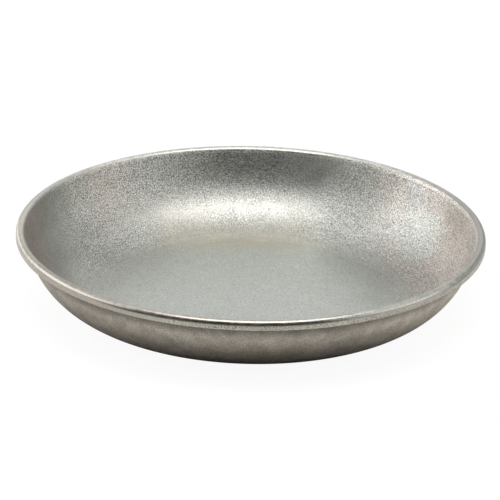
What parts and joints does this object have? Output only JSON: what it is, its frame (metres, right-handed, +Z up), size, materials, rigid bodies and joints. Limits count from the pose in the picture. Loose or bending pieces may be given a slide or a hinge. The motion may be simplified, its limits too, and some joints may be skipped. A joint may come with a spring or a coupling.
{
  "type": "gold pan",
  "caption": "Round, shallow sheet-steel gold pan with a flat floor, a deep curved corner, a short steep wall and a rim rolled outwards over a stiffening wire.",
  "frame": {"origin": "on the table, under the centre of the flat floor", "axes": "+Z up, along the axis of revolution, out of the pan's mouth; the pan is round, so +X and +Y are equal"},
  "size_m": [0.3556, 0.3556, 0.0571],
  "materials": {
    "pan_steel": "satin bare steel with a fine pebbled grain, slight brown handling stains and a rubbed rim",
    "wire_steel": "drawn bare steel wire, dull"
  },
  "bodies": {
    "root": {"pan_shell": "pan_steel", "rim_wire": "wire_steel"}
  },
  "joints": []
}
